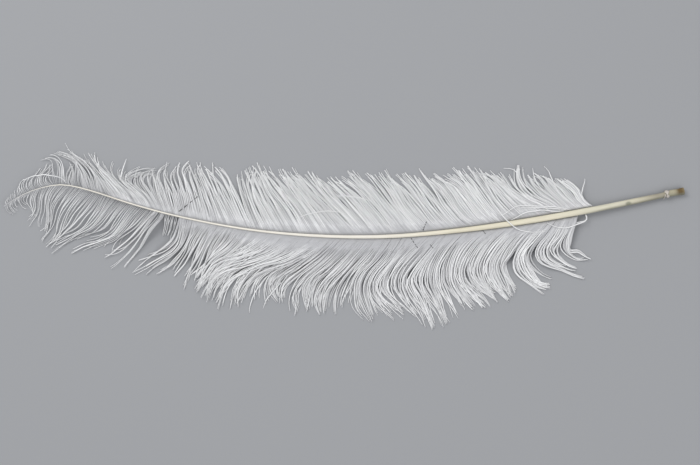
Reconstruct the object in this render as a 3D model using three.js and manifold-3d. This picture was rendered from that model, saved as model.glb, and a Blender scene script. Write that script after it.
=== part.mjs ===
// An ostrich wing plume, lying on a flat surface. Millimetres, +Z up.
//
// The shaft runs along X, from the thin tip at -X to the cut quill at +X, in one long bow. The outer vane,
// the narrower one, grows on its +Y side and the inner vane on its -Y side. The soft barbs of each vane
// leave the shaft side by side and bunch into locks towards the edge. They arch up beside the shaft and
// then droop until they lie on the surface. The origin is at the middle of the object's footprint, on
// the surface.

import * as THREE from "three";
import { mergeVertices } from "three/addons/utils/BufferGeometryUtils.js";
import Module from "manifold-3d";

const wasm = await Module();
wasm.setup();

// ---------------------------------------------------------------------------------------------------
// Driving dimensions
// ---------------------------------------------------------------------------------------------------

// The shaft's centreline, from the tip to the cut end: [x, y, height, half width].
// The last three rows are the papery skin left round the end of the quill, which flares at the cut.
const SHAFT = [
  [-300, 27, 4, 0.35],
  [-286, 36, 5, 0.45],
  [-268, 43, 5.8, 0.5],
  [-248, 46, 6.6, 0.55],
  [-224, 41, 7.2, 0.6],
  [-185, 28.5, 8, 0.7],
  [-143, 17.5, 8.6, 0.85],
  [-83, 6.5, 9, 1.1],
  [-22, 1, 9, 1.45],
  [36, 0.5, 8.6, 1.8],
  [93, 5, 7.8, 2.2],
  [154, 13, 6.6, 2.85],
  [218, 24, 5.2, 3.15],
  [260, 32.5, 4.1, 2.85],
  [281, 37, 3.7, 2.7],
  [285, 38, 3.7, 3.1],
  [293, 39.5, 3.6, 3.15],
  [299, 40.5, 3.5, 3.5],
];
const SHAFT_TIP = SHAFT[0][0];
const SHAFT_END = SHAFT[SHAFT.length - 1][0];
const SHAFT_SIDES = 10;
const SHAFT_SPANS = 48;

// How the barbs of each vane grow, from the tip to the quill:
// [x of the root, barb length, heading at the root, half way and at the tip].
// A heading is in degrees from +X, so 180 points at the feather's tip and 270 points at -Y.
const OUTER_BARBS = [
  [-291, 7, 140, 110, 70],
  [-279, 16, 143, 100, 40],
  [-270, 23, 140, 100, 60],
  [-261, 25, 135, 88, 62],
  [-252, 30, 126, 95, 140],
  [-245, 40, 120, 108, 190],
  [-239, 25, 128, 98, 68],
  [-231, 41, 102, 120, 165],
  [-222, 46, 104, 120, 152],
  [-212, 43, 108, 122, 150],
  [-199, 50, 130, 123, 98],
  [-186, 60, 138, 133, 92],
  [-174, 57, 138, 135, 82],
  [-162, 64, 140, 135, 68],
  [-153, 72, 137, 125, 30],
  [-141, 58, 128, 118, 65],
  [-120, 60, 113, 115, 108],
  [-95, 67, 118, 120, 112],
  [-52, 71, 123, 125, 122],
  [-6, 77, 130, 132, 126],
  [43, 88, 135, 138, 145],
  [93, 90, 138, 142, 147],
  [141, 90, 143, 149, 153],
  [181, 81, 155, 151, 146],
  [201, 66, 155, 142, 118],
  [213, 54, 143, 135, 126],
  [218, 42, 133, 130, 152],
  [222, 31, 140, 120, 75],
];
const INNER_BARBS = [
  [-297, 14, 262, 300, 338],
  [-287, 17, 262, 292, 332],
  [-274, 29, 240, 272, 303],
  [-265, 38, 240, 266, 225],
  [-256, 42, 235, 258, 280],
  [-247, 51, 230, 257, 242],
  [-235, 55, 218, 245, 260],
  [-222, 61, 217, 233, 232],
  [-210, 68, 218, 224, 226],
  [-196, 76, 219, 213, 200],
  [-182, 84, 219, 199, 194],
  [-171, 64, 220, 206, 188],
  [-162, 86, 219, 203, 196],
  [-155, 76, 224, 215, 203],
  [-147, 74, 226, 225, 207],
  [-134, 75, 231, 215, 206],
  [-121, 82, 227, 214, 206],
  [-92, 77, 221, 221, 234],
  [-60, 86, 219, 214, 237],
  [-30, 97, 215, 210, 258],
  [1, 92, 214, 212, 250],
  [30, 95, 216, 218, 257],
  [54, 95, 219, 227, 296],
  [80, 98, 218, 238, 317],
  [107, 97, 219, 248, 318],
  [136, 92, 218, 250, 325],
  [163, 84, 218, 257, 314],
  [175, 85, 218, 268, 326],
  [184, 79, 221, 269, 344],
  [192, 86, 221, 280, 352],
  [200, 76, 221, 285, 370],
  [207, 58, 225, 280, 345],
  [212, 36, 228, 258, 272],
];

// Locks stand PITCH + PITCH_GROWTH * (barb length) apart at their roots. Each is OVERLAP times as wide as
// the room between its line and the next, which it takes to be WIDEST times the pitch at most.
const PITCH = 5.5;
const PITCH_GROWTH = 0.13;
const OVERLAP = 1.4;
const WIDEST = 1.5;
const LOCK_SPANS = 6;
const TAPER_START = 0.55; // share of a barb's length from which a lock narrows to its point

const DRAPE_END = 0.75; // share of a barb's length at which it has come down to the surface
const ARCH = 3; // how far a barb rises above a straight fall from shaft to surface
const RIDGE = 3; // height of a lock's ridge above its edges, at its thickest
const RIDGE_AT_ROOT = 0.45; // share of that height at the root
const RIDGE_AT_TIP = 0.15; // share of that height at the tip
const TIP_WIDTH = 1.6;
const OVERLYING = 0.8; // every other lock lies this much higher, on its neighbours
const FULL_LENGTH = 50; // shorter barbs arch less and make thinner locks
const FINEST = 0.04; // detail finer than this is dropped where locks meet
const SEAM = 0.5; // gap between a vane and the shaft that it grows from

// ---------------------------------------------------------------------------------------------------
// Curves
// ---------------------------------------------------------------------------------------------------

const { degToRad, clamp, lerp, smoothstep } = THREE.MathUtils;

// The value of one column of a table at x, on a smooth curve through its rows.
function at(rows, column, x) {
  const slope = (j) => {
    const before = rows[Math.max(0, j - 1)];
    const after = rows[Math.min(rows.length - 1, j + 1)];
    return (after[column] - before[column]) / (after[0] - before[0]);
  };
  let i = 0;
  while (i < rows.length - 2 && rows[i + 1][0] <= x) i += 1;
  const [low, high] = [rows[i], rows[i + 1]];
  const span = high[0] - low[0];
  const t = clamp((x - low[0]) / span, 0, 1);
  return (
    low[column] * (1 + 2 * t) * (1 - t) ** 2 +
    high[column] * t * t * (3 - 2 * t) +
    span * t * (1 - t) * (slope(i) * (1 - t) - slope(i + 1) * t)
  );
}

const shaftPoint = (x) => new THREE.Vector3(x, at(SHAFT, 1, x), at(SHAFT, 2, x));
const shaftRadius = (x) => at(SHAFT, 3, x);

// The level unit vector that points across the shaft, to its +Y side.
function acrossShaft(x) {
  const along = shaftPoint(x + 0.5).sub(shaftPoint(x - 0.5));
  return new THREE.Vector3(-along.y, along.x, 0).normalize();
}

// A point beside the shaft, on its +Y side for side 1 and its -Y side for side -1, and clear of it by the seam.
function flank(side, x) {
  const along = Math.max(x, SHAFT_TIP);
  const radius = shaftRadius(along);
  const place = shaftPoint(along).addScaledVector(acrossShaft(along), side * (radius + SEAM));
  place.z -= radius / 2;
  return place;
}

// A closed bar whose cross-section has the given number of corners. The place of a corner comes from
// corner(station, x, z), with (x, z) on a unit circle round the bar's own axis, or at its centre.
function bar(sides, spans, corner) {
  const geometry = new THREE.CylinderGeometry(1, 1, spans, sides, spans);
  geometry.deleteAttribute("normal");
  geometry.deleteAttribute("uv");
  const position = geometry.getAttribute("position");
  for (let i = 0; i < position.count; i++) {
    const station = Math.round(position.getY(i) + spans / 2);
    const place = corner(station, position.getX(i), position.getZ(i));
    position.setXYZ(i, place.x, place.y, place.z);
  }
  return mergeVertices(geometry, 1e-4);
}

// ---------------------------------------------------------------------------------------------------
// Shaft
// ---------------------------------------------------------------------------------------------------

function shaftGeometry() {
  const corner = (station, x, z) => {
    const along = lerp(SHAFT_TIP, SHAFT_END, station / SHAFT_SPANS);
    const radius = shaftRadius(along);
    const place = shaftPoint(along).addScaledVector(acrossShaft(along), z * radius);
    place.z += x * radius;
    return place;
  };
  return bar(SHAFT_SIDES, SHAFT_SPANS, corner);
}

// ---------------------------------------------------------------------------------------------------
// Vanes
// ---------------------------------------------------------------------------------------------------

// Where the locks of a vane leave the shaft: [x, share of the shaft that the lock takes].
function lockRoots(barbs) {
  const roots = [];
  const end = barbs[barbs.length - 1][0];
  let x = barbs[0][0];
  while (x <= end) {
    const pitch = PITCH + PITCH_GROWTH * at(barbs, 1, x);
    roots.push([x, pitch]);
    x += pitch;
  }
  return roots;
}

// The line of one barb: its middle and heading at each section of a lock, from the flank of the shaft.
function barbLine(barbs, side, root) {
  const length = at(barbs, 1, root);
  const [leaving, halfWay, tip] = [2, 3, 4].map((column) => at(barbs, column, root));
  const headingAt = (t) =>
    degToRad(leaving * (1 - t) * (1 - 2 * t) + halfWay * 4 * t * (1 - t) + tip * t * (2 * t - 1));
  const middle = flank(side, root);
  const line = [{ middle: middle.clone(), heading: headingAt(0) }];
  for (let i = 1; i <= LOCK_SPANS; i++) {
    const between = headingAt((i - 0.5) / LOCK_SPANS);
    middle.x += (Math.cos(between) * length) / LOCK_SPANS;
    middle.y += (Math.sin(between) * length) / LOCK_SPANS;
    line.push({ middle: middle.clone(), heading: headingAt(i / LOCK_SPANS) });
  }
  return line;
}

// One lock: a pointed blade with a flat underside and a ridge above, along the line of its middle barb.
// side is 1 for the vane on the shaft's +Y side and -1 for the other.
function lockGeometry(barbs, side, root, pitch, overlying) {
  const fullness = Math.min(1, at(barbs, 1, root) / FULL_LENGTH);
  const line = barbLine(barbs, side, root);
  const neighbour = barbLine(barbs, side, root + pitch);
  const sections = line.map(({ middle, heading }, i) => {
    const t = i / LOCK_SPANS;
    const centre = middle.clone();
    const arch = ARCH * fullness * Math.sin(Math.PI * Math.min(1, t / DRAPE_END));
    centre.z = lerp(middle.z, overlying * fullness, smoothstep(t, 0, DRAPE_END)) + arch;
    const sideways = new THREE.Vector3(-Math.sin(heading), Math.cos(heading), 0);
    const apart = Math.abs(neighbour[i].middle.clone().sub(middle).dot(sideways));
    const full = OVERLAP * Math.min(apart, WIDEST * pitch);
    const width = lerp(full, TIP_WIDTH, smoothstep(t, TAPER_START, 1));
    const edges = [1, -1].map((sign) => centre.clone().addScaledVector(sideways, (sign * width) / 2));
    const ridge = centre.clone();
    ridge.z += RIDGE * fullness * Math.max(Math.sin(Math.PI * t), lerp(RIDGE_AT_ROOT, RIDGE_AT_TIP, t));
    return { ridge, edges };
  });
  const reach = (side * OVERLAP * pitch) / 2;
  sections[0].edges = [flank(side, root - reach), flank(side, root + reach)];

  const corner = (station, x, z) => {
    const { ridge, edges } = sections[station];
    return new THREE.Vector3()
      .addScaledVector(ridge, (1 + 2 * z) / 3)
      .addScaledVector(edges[0], (1 - z - Math.sqrt(3) * x) / 3)
      .addScaledVector(edges[1], (1 - z + Math.sqrt(3) * x) / 3);
  };
  return bar(3, LOCK_SPANS, corner);
}

// All the locks of a vane, fused where they overlap. Only the outer skin is kept, which fills the pockets
// that crossing locks seal between them.
function vaneGeometry(barbs, side) {
  const locks = lockRoots(barbs).map(([root, pitch], k) => {
    const lock = lockGeometry(barbs, side, root, pitch, k % 2 ? OVERLYING : 0);
    const vertProperties = lock.attributes.position.array;
    const triVerts = new Uint32Array(lock.index.array);
    return new wasm.Manifold(new wasm.Mesh({ numProp: 3, tolerance: FINEST, vertProperties, triVerts }));
  });
  const skins = locks.reduce((vane, lock) => vane.add(lock)).decompose();
  const fused = skins.reduce((most, skin) => (skin.volume() > most.volume() ? skin : most)).getMesh();
  const geometry = new THREE.BufferGeometry();
  geometry.setAttribute("position", new THREE.BufferAttribute(fused.vertProperties, 3));
  geometry.setIndex(new THREE.BufferAttribute(fused.triVerts, 1));
  geometry.computeVertexNormals();
  return geometry;
}

// ---------------------------------------------------------------------------------------------------
// Assembly
// ---------------------------------------------------------------------------------------------------

const quillMaterial = new THREE.MeshStandardMaterial({ color: 0xe3dcc0, roughness: 0.45, metalness: 0 });
const barbMaterial = new THREE.MeshStandardMaterial({ color: 0xe6e7e8, roughness: 0.85, metalness: 0 });

const feather = new THREE.Group();

function add(name, geometry, material) {
  const mesh = new THREE.Mesh(geometry, material);
  mesh.name = name;
  feather.add(mesh);
}

add("shaft", shaftGeometry(), quillMaterial);
add("outer_vane", vaneGeometry(OUTER_BARBS, 1), barbMaterial);
add("inner_vane", vaneGeometry(INNER_BARBS, -1), barbMaterial);

// The origin goes to the middle of the footprint, at the level of the surface.
const box = new THREE.Box3().setFromObject(feather);
const middle = box.getCenter(new THREE.Vector3());
feather.position.set(-middle.x, -middle.y, -box.min.z);

export default feather;
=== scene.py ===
"""A white ostrich wing plume lying on a pale surface, as a Blender add-on script.

The plume has a bowed ivory shaft and two rows of soft barbs. Each barb is a flattened strand with short
barbules along both edges. Barbs leave the shaft evenly, cling together in strands of a few, and gather in
locks towards the edge. Tables are in millimetres, in the plume's own drawing frame: X runs along the plume
from its tip to the cut quill, Y across it, and Z up from the surface.
"""

import math

import bpy
import numpy as np
from bpy.props import FloatProperty, FloatVectorProperty, IntProperty, PointerProperty
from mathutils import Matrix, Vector


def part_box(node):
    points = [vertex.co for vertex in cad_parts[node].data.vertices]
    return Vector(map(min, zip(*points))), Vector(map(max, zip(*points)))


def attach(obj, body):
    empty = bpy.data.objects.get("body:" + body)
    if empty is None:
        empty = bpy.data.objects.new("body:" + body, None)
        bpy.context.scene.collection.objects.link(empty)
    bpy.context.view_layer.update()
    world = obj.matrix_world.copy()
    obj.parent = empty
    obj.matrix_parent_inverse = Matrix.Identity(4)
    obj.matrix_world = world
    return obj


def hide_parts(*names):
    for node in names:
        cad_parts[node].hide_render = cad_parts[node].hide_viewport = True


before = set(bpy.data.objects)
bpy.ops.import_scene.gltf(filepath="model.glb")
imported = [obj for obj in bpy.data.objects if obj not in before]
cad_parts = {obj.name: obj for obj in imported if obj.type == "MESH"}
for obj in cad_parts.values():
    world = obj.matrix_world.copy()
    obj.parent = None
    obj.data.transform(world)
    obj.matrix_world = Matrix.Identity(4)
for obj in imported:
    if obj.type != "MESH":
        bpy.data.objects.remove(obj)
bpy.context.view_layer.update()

bl_info = {
    "name": "Ostrich Plume",
    "version": (1, 0, 0),
    "blender": (4, 5, 0),
    "location": "View3D > Sidebar > Plume",
    "description": "Builds a white ostrich wing plume from its shaft, barbs and barbules",
    "category": "Add Mesh",
}

MM = 0.001
BODY = "root"

# ---------------------------------------------------------------------------------------------------
# The plume's form, in millimetres
# ---------------------------------------------------------------------------------------------------

# The shaft's centreline, from the tip to the cut end: (x, y, height, half width).
SHAFT = (
    (-300, 27, 4, 0.35),
    (-286, 36, 5, 0.45),
    (-268, 43, 5.8, 0.5),
    (-248, 46, 6.6, 0.6),
    (-224, 41, 7.2, 0.7),
    (-185, 28.5, 8, 0.8),
    (-143, 17.5, 8.6, 0.85),
    (-83, 6.5, 9, 1.1),
    (-22, 1, 9, 1.55),
    (36, 0.5, 8.6, 1.95),
    (93, 5, 7.8, 2.35),
    (154, 13, 6.6, 2.95),
    (218, 24, 5.2, 3.15),
    (260, 32.5, 4.1, 3),
    (281, 37, 3.7, 2.8),
    (285, 38, 3.8, 3.25),
    (293, 39.5, 3.8, 3.4),
    (299, 40.5, 3.8, 3.75),
)
SHAFT_TIP = SHAFT[0][0]
SHAFT_END = SHAFT[-1][0]
SHAFT_SEED = 8
GROOVE = (-150, 205)  # the groove under the shaft, from x to x
GROOVE_FADE = (60, 25)  # how gently it starts and ends
GROOVE_DEPTH = 0.45  # of the half width
GROOVE_SIDE = 0.55  # of the half width
SQUARED = (-175, -120)  # from x to x the section turns square, and then round again
ROUNDED = (205, 240)
CORNER_POWER = 3.4  # 2 is a round section, and more is squarer
RUN_OUT = 2  # how far past its ends the shaft's surface may be looked up
DRY_START = (279, 283)  # from x to x the quill turns dry and wrinkled
BROWN_START = 292.8
BROWN_END = 297.6
HOLLOW_DEPTH = 5  # of the open end of the quill
WALL = 0.9  # of the open end
SHARP_ANGLE = 50  # degrees
GRAIN_LENGTH = 40  # how much longer than wide the shaft's streaks are
SMUDGE_MIDDLE = (249.5 / GRAIN_LENGTH, -0.35, 0.9)
SMUDGE_SIZE = (2.4 / GRAIN_LENGTH, 0.6, 1.2)
BUMP_DISTANCE = 0.3

# The lines that the barbs follow: (x of the root on the shaft, whether a lock gathers on the line, then the
# x and y of each point that the line passes, out to its end). The barbs between two lines blend them.
OUTER_LINES = (
    (-298, 0, -299, 31, -299, 35),
    (-292.6, 0, -293.5, 37, -294, 39.2),
    (-286, 0, -288, 43, -287.5, 47, -286, 50),
    (-281.2, 0, -283.8, 43, -284.7, 45.8, -283.4, 49.3, -280, 52),
    (-274, 0, -276.8, 45, -276.8, 49.3, -274, 54.6, -270.6, 59),
    (-268, 0, -270.6, 46.6, -270.6, 51, -268.8, 56.3, -265.3, 60.7, -262.7, 65),
    (-263.6, 0, -267, 47.5, -268, 52, -266.2, 57.2, -262.7, 61.6, -260, 66),
    (-257.4, 0, -261, 48.4, -262.7, 52, -261, 55.4, -258.3, 58, -256.5, 61.6),
    (-254, 1, -254.8, 51, -255.6, 59, -256.5, 65, -259.2, 68.6, -263.6, 70, -268.8, 70),
    (-250, 1, -250, 52, -249.5, 59, -250.8, 65, -254, 69.5, -259.2, 72, -267, 72.2),
    (-246.4, 1, -247, 52.8, -247.3, 59.8, -249, 66, -252, 70.4, -256.5, 73, -260, 73.5),
    (-243.3, 1, -244.6, 51, -244.2, 57.2, -242.4, 61.6, -240.7, 67),
    (-240.2, 1, -241.6, 51, -240.7, 57.2, -238, 62.5),
    (-235.4, 0, -237.2, 51, -236.3, 58, -236.3, 63.4, -239.8, 67.8, -246, 70.4, -254, 73),
    (-229.2, 0, -231, 50.2, -232, 56.3, -235.4, 62.5, -240.7, 68.6, -247.7, 72.2, -255.6, 75.7),
    (-223, 0, -225.7, 49.3, -227.5, 55.4, -232, 63.4, -238, 69.5, -245, 74.8, -254, 79.2),
    (-217, 0, -218.7, 47.5, -219.6, 53.7, -224, 60.7, -230, 67, -237.2, 72.2, -246.8, 79.2),
    (-210, 0, -213.4, 45, -217, 52, -222.2, 59, -228.4, 65, -235.4, 70.4, -244.2, 77.4),
    (-201, 0, -206.4, 43, -212.5, 51, -218.7, 58, -224, 64.2, -230, 69.5),
    (-194, 1, -200.2, 42.2, -208, 51, -216, 59, -220.4, 66, -223, 71.3, -224.8, 76.6),
    (-188, 1, -194, 40.5, -202.8, 49.3, -211.6, 57.2, -217.8, 64.2, -220.4, 70.4, -220.4, 75.7),
    (-182.6, 0, -188, 37.8, -196.7, 46.6, -205.5, 54.6, -212.5, 61.6, -216, 67),
    (-178.2, 1, -183.5, 36, -190.5, 42.2, -198.4, 48.4, -204.6, 54.6, -207.2, 60.7, -207.2, 67.8),
    (-174.7, 1, -179, 34.3, -185.2, 40.5, -192.3, 46.6, -197.6, 52, -201, 58, -199.3, 60.7),
    (-172, 1, -175.6, 33.4, -181.7, 39.6, -189.6, 45.8, -195.8, 51, -198, 57.2, -195.8, 63.4, -192.3, 69.5),
    (-169.4, 1, -173, 31.7, -179, 39.6, -187, 46.6, -193.6, 52, -193.2, 56, -187, 59.4, -179, 62, -171.2,
     64.7, -166, 66),
    (-166, 1, -170.3, 32.6, -176.4, 40.5, -182.6, 46.6, -185.2, 52.8, -183.5, 58, -179, 61.6),
    (-162.4, 1, -166.8, 32.6, -172, 41.4, -176.4, 48.4, -177.3, 53.7, -173.8, 59.8, -168.5, 65),
    (-158, 1, -161.5, 30.8, -165, 39.6, -167.6, 49.3, -170.3, 57.2, -169.4, 62.5),
    (-153.6, 1, -157, 30, -160.6, 39.6, -164, 48.4, -166.8, 55.4, -164, 60.7, -158, 64.2, -152.7, 67),
    (-150, 1, -152.7, 28.2, -155.3, 37.8, -158.8, 46.6, -161.5, 54.6, -161.5, 60.7, -159.7, 67),
    (-145.6, 1, -147.4, 27.3, -150, 37, -153.6, 46.6, -157, 53.7, -158, 59, -153.6, 66),
    (-141.2, 1, -143, 27.3, -145.6, 36, -149.2, 45.8, -152.7, 54.6, -152.7, 60.7, -150, 67),
    (-136, 1, -137.7, 26.4, -139.5, 36, -143, 45.8, -145.6, 53.7, -146.5, 59.8, -143, 67.8),
    (-129.8, 1, -131.6, 25.5, -134.2, 35.2, -137.7, 45, -141.2, 53.7, -143, 60.7, -138.6, 65, -133.3, 68.6),
    (-122.8, 1, -124.5, 24.6, -127.2, 34.3, -130.7, 44, -134.2, 52.8, -136.8, 59, -140.4, 65),
    (-115.7, 0, -118.4, 24.6, -122, 34.3, -126.3, 45, -129.8, 53.7, -132.4, 59.8, -129, 65),
    (-96, 0, -105, 28, -114, 46, -126, 68),
    (-83, 0, -92, 28, -101, 46, -108, 63),
    (-74, 0, -83, 28, -89, 46, -91, 59),
    (-57, 0, -70, 28, -79, 46, -86, 61),
    (-39, 0, -52, 25.5, -66, 46, -76, 65),
    (-22, 0, -35, 24, -48, 41, -61, 59),
    (-4, 0, -20, 22, -35, 40, -50, 61),
    (14, 0, -2, 19, -20, 37, -36, 57),
    (31, 0, 18, 19, 3, 37, -13, 54),
    (49, 0, 36, 19, 21, 37, 0, 57),
    (66, 0, 56, 15.8, 47, 26.4, 40, 37, 33, 46.6, 24.2, 57.2),
    (84, 0, 73.5, 16.7, 65.6, 27.3, 58.5, 37.8, 51.5, 46.6, 41.8, 56.3),
    (102, 0, 92, 17.6, 83.2, 28.2, 76, 38.7, 69, 47.5, 59.4, 58),
    (119, 0, 108.7, 17.6, 100, 28.2, 92.8, 38.7, 85.8, 47.5, 75.2, 55.4),
    (137, 0, 126.3, 23, 118.4, 33.4, 111.3, 43, 104.3, 51, 94.6, 58.5),
    (148, 1, 136.8, 24.6, 129, 35.2, 122.8, 45, 117.5, 53.7, 110.4, 63.4),
    (158, 0, 145.6, 27.3, 136.8, 37, 129.8, 45.8, 123.6, 52.8, 115.7, 56.3),
    (170, 0, 158.8, 28.2, 148.3, 36, 140.4, 44, 134.2, 51, 127.2, 56.3),
    (182, 0, 169.4, 28.2, 158, 34.3, 149.2, 41.4, 143, 49.3, 136.8, 55.4),
    (190, 1, 177.3, 30, 166.8, 35.2, 158.8, 42.2, 154, 50.2, 152.7, 57.2, 153.6, 63.4),
    (197, 1, 185.2, 32.6, 176.4, 39.6, 169.4, 46.6, 165, 52.8, 161.5, 56.3),
    (204, 1, 192.3, 33.4, 185.2, 41.4, 180.8, 47.5, 177.3, 52.8, 173, 56.3),
    (210, 1, 200.2, 33.4, 194, 40.5, 188, 45.8, 182.6, 50.2, 180, 52.8),
    (215, 0, 207.2, 32.6, 203.7, 38.7, 198.4, 44, 192.3, 48.4, 186, 52),
    (219, 0, 212.5, 30.8, 209, 36, 207.2, 41.4, 202.8, 46.6, 195.8, 50.2),
)
INNER_TIP_LINES = (
    (-298, 0, -298.3, 25.5, -297, 22.4, -294.4, 19.8),
    (-295.2, 0, -296, 26.4, -294.8, 23.3, -291.7, 20.2),
    (-291.7, 0, -293, 27.7, -291.7, 24.2, -288.6, 21),
    (-289, 0, -290.8, 30.8, -290.4, 28.2, -288.2, 26.4),
    (-285.6, 1, -287.3, 33.4, -285.6, 28.2, -283.4, 24.2, -279.4, 21.6),
    (-281.2, 1, -284.7, 33.4, -283, 30.4, -279.4, 28.2),
    (-275, 1, -276.8, 35.2, -278, 29, -276, 23, -272.4, 16.7),
    (-270.6, 0, -274, 34.3, -274, 28.2, -275.5, 21, -282, 14),
    (-267, 0, -268.8, 35.2, -269.3, 28.2, -270.2, 21, -274, 15, -279.4, 9.7),
    (-263.6, 0, -267, 35.2, -268.4, 27.3, -270.6, 19.4, -273.2, 13.2, -274, 7),
    (-259.2, 1, -263.6, 35.2, -264.4, 26.4, -265.3, 17.6, -266.6, 11.4, -266.2, 4.4),
    (-254.8, 1, -260, 37.8, -261.8, 30, -261.4, 21, -261.8, 12.3, -264, 4.4, -269.7, -2.6),
    (-246.8, 1, -254.8, 35.2, -259.2, 27.3, -260, 18.5, -262, 9, -266, 1),
    (-239.8, 1, -248.6, 34.3, -254.8, 24.6, -257.4, 15, -260, 6, -267, -2),
    (-232.8, 1, -241.6, 32.6, -248.6, 23, -253, 13.2, -254.8, 4.4, -259.2, -2.6, -264.4, -7),
    (-225.7, 1, -234.5, 31.7, -241.6, 22, -246.8, 12.3, -250.4, 3.5, -255.6, -3.5, -261.8, -8.8),
    (-217.8, 1, -226.6, 27.3, -234.5, 18.5, -240.7, 10.6, -247.7, 4.4, -253, -1.8, -259.2, -8),
    (-209, 1, -216, 23.8, -222.2, 15.8, -229.2, 8, -238, 2.6, -247.7, -1, -259.2, -5.3),
    (-201, 1, -209, 23, -215.2, 15, -222.2, 8, -232.8, 2.6, -243.3, -3.5, -253, -9.2, -259.2, -13.2),
    (-194, 1, -202, 22, -209, 13.2, -216, 6.2, -225.7, 2.6, -239, -1),
    (-188, 1, -195, 21, -201, 12.3, -206.4, 5.3, -215.2, 1, -225.7, -2.2),
    (-181.7, 1, -188.8, 18.5, -195.8, 8.8, -204.6, 0, -215.2, -4.4, -228.4, -8, -240.7, -14.5),
    (-175.6, 1, -182.6, 17.6, -188.8, 9.7, -196.7, 1.8, -204.6, -4.4, -215.2, -8, -224, -10),
    (-171.2, 1, -177.3, 16.7, -186, 8, -195, 2.5, -204.6, -3, -210.8, -9, -214.3, -17.6),
    (-167, 1, -173, 15.8, -180, 7, -188.8, -2.6, -198.4, -11.4, -208, -18.5, -217, -20.2),
    (-163.2, 1, -169.4, 14, -176.4, 5.3, -183.5, -3.5, -192.3, -13.2, -202, -19.4, -209, -22.4),
    (-160.5, 1, -165, 13.2, -173, 5.3, -179, -4.4, -186, -14, -195.8, -22, -204.6, -29),
    (-158, 1, -162.5, 12.3, -168.5, 4.4, -174.7, -5.3, -180.8, -15.8, -188.8, -23.8, -199.3, -33),
)
BROKEN_LINES = (
    (-157, 0, -159.5, 9, -162, 2),
    (-152, 0, -155.5, 8, -158, 0),
    (-149, 0, -152, 7, -154.4, -2),
    (-146, 0, -149.5, 6, -152.7, -4),
)
INNER_LINES = (
    (-145, 1, -147.4, 6, -152, -7, -167, -17, -197.6, -32),
    (-136, 1, -139.5, 2, -145, -11, -158, -22, -187, -34),
    (-131, 1, -136, -2.6, -149, -22, -170, -39),
    (-126, 1, -136, -2.6, -146.5, -22, -160, -41),
    (-114, 1, -123, -2.6, -131.6, -18.5, -146.5, -45),
    (-105, 0, -114, -2.6, -123, -20, -134, -48),
    (-95, 0, -105, -7, -117, -18, -127, -30, -134, -46),
    (-84, 1, -93.7, -7, -104.3, -16.7, -115.7, -23, -123.6, -32.6, -129, -41.4, -134, -48.4),
    (-72.6, 1, -82.3, -7, -92, -16.7, -104.3, -23.8, -114.8, -31.7, -121, -41.4, -126.3, -52.8),
    (-62, 1, -70.8, -7, -80.5, -15.8, -92, -23, -103.4, -31.7, -112.2, -42.2, -121, -59),
    (-54, 1, -63.8, -8, -73.5, -15.8, -85, -23, -96.4, -31.7, -107, -42.2, -115.7, -58),
    (-44.4, 1, -54, -8, -63.8, -15.8, -75.2, -23.8, -85.8, -32.6, -94.6, -44, -98, -53.7, -98, -65),
    (-32, 1, -41, -8.8, -51.5, -17.6, -63, -25.5, -74.4, -34.3, -81.4, -45, -84, -59),
    (-20, 1, -28.6, -9.7, -39.2, -18.5, -51.5, -26.4, -63.8, -34.3, -70.8, -44, -71.7, -52.8, -69, -62.5),
    (-12.8, 1, -21.6, -9.7, -32, -18.5, -44.4, -27.3, -55.9, -34.3, -63.8, -44, -65.6, -52, -63, -59),
    (-6.6, 1, -15.4, -10.6, -26, -20.2, -37.4, -28, -48.8, -36, -57.6, -45.8, -60.3, -55.4, -57.6, -69.5),
    (-1.3, 1, -10, -10.6, -19.8, -20.2, -31.2, -29, -41.8, -38.7, -49.7, -48.4, -52.4, -58, -51.5, -69.5),
    (5.7, 1, -3, -11.4, -12.8, -21, -23.3, -30, -33, -38.7, -38.3, -48.4, -38.3, -59, -36.5, -72),
    (14.5, 1, 6.6, -11.4, -2.2, -21, -12, -30, -21.6, -38.7, -26.8, -48.4, -28.6, -59, -26.8, -69.5),
    (22.4, 1, 14.5, -11.4, 5.7, -22, -3, -31.7, -12, -41.4, -18, -51, -19, -59.8, -17.2, -70.4),
    (31.2, 1, 23.3, -11.4, 14.5, -22, 5.7, -31.7, -1.3, -41.4, -5.7, -52, -6.6, -62.5, -4, -73),
    (38.3, 1, 31.2, -11.4, 23.3, -22, 14.5, -30.8, 8.4, -42.2, 7.5, -54.6, 8.4, -65, 13.6, -76),
    (43.6, 1, 37.4, -11.4, 30.4, -21, 21.6, -30, 15.4, -40.5, 14.5, -51, 19, -65, 26, -77.4),
    (49.5, 1, 42.6, -11.4, 34.6, -22, 26.4, -30.8, 20, -41.4, 19, -52, 24.2, -65, 31.2, -78.3),
)
INNER_LOCK_LINES = (
    (50.5, 1, 44.8, -11.4, 38, -22, 29.6, -30.8, 23.6, -41.4, 25.2, -52.8, 33, -64.2, 43.6, -74),
    (66, 1, 50.6, -13, 38, -27, 29.5, -40.5, 33, -54, 49, -73),
    (75, 1, 62, -13, 49, -27, 42, -40.5, 45, -54, 65, -76),
    (88, 1, 77, -11, 65, -25.5, 59, -38, 65, -51, 80, -78),
    (97, 1, 84, -11, 75, -27, 73.5, -40, 79, -53, 91, -76.6),
    (106, 1, 94.6, -10, 87, -24, 86, -38, 91, -49, 106, -66),
    (115, 1, 101.6, -8, 94.6, -22, 93, -35, 98, -47.5, 114, -66),
    (126, 1, 111, -8, 103, -22, 101, -34, 107, -46, 123, -62),
    (137, 1, 121, -7, 112, -22, 110.4, -33, 117.5, -45, 132, -59),
    (146, 1, 129, -7, 120, -22, 120, -34, 127, -46, 139, -56),
    (154, 1, 137, -7, 128, -22, 130, -35, 137, -47, 145.6, -54.6),
    (166, 1, 151, -3, 142, -17.6, 137.5, -27, 142, -38, 150, -51),
    (171, 1, 155, -3, 145, -17.6, 139, -27, 143, -38, 151, -51),
)
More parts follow.
